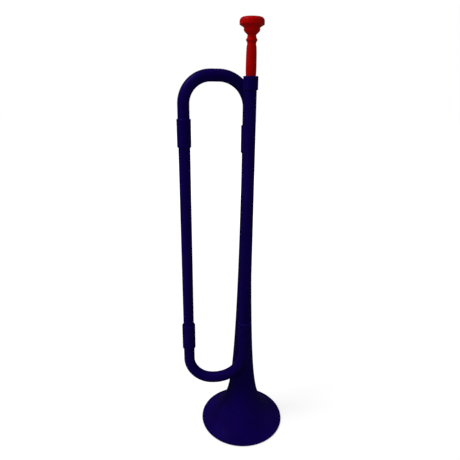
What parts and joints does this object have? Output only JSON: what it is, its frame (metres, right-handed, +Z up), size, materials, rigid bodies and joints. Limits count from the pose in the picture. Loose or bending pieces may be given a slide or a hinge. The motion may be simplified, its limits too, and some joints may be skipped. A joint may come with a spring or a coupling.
{
  "type": "practice trumpet",
  "caption": "Natural practice trumpet in moulded plastic, with joined straight tubes, two bows, a flared bell and a mouthpiece that pulls out.",
  "frame": {"origin": "under the middle of the object's box, in the plane of the bell's rim", "axes": "+Z up along the tubes, from the bell's rim to the mouthpiece; the leadpipe is in front at -Y and the return tube at -X"},
  "size_m": [0.1444, 0.119, 0.5448],
  "materials": {
    "body_plastic": "satin moulded dark blue",
    "mouthpiece_plastic": "satin moulded red"
  },
  "bodies": {
    "horn": {"bell": "body_plastic", "upper_right_sleeve": "body_plastic", "top_bow": "body_plastic", "upper_left_sleeve": "body_plastic", "return_tube": "body_plastic", "lower_left_sleeve": "body_plastic", "bottom_bow": "body_plastic", "lower_right_sleeve": "body_plastic", "leadpipe": "body_plastic", "receiver_collar": "body_plastic"},
    "mouthpiece": {"mouthpiece": "mouthpiece_plastic"}
  },
  "joints": [
    {"name": "mouthpiece_pull", "type": "slide", "parent": "horn", "child": "mouthpiece", "axis": [0, 0, 1], "range_m": [0, 0.028]}
  ]
}
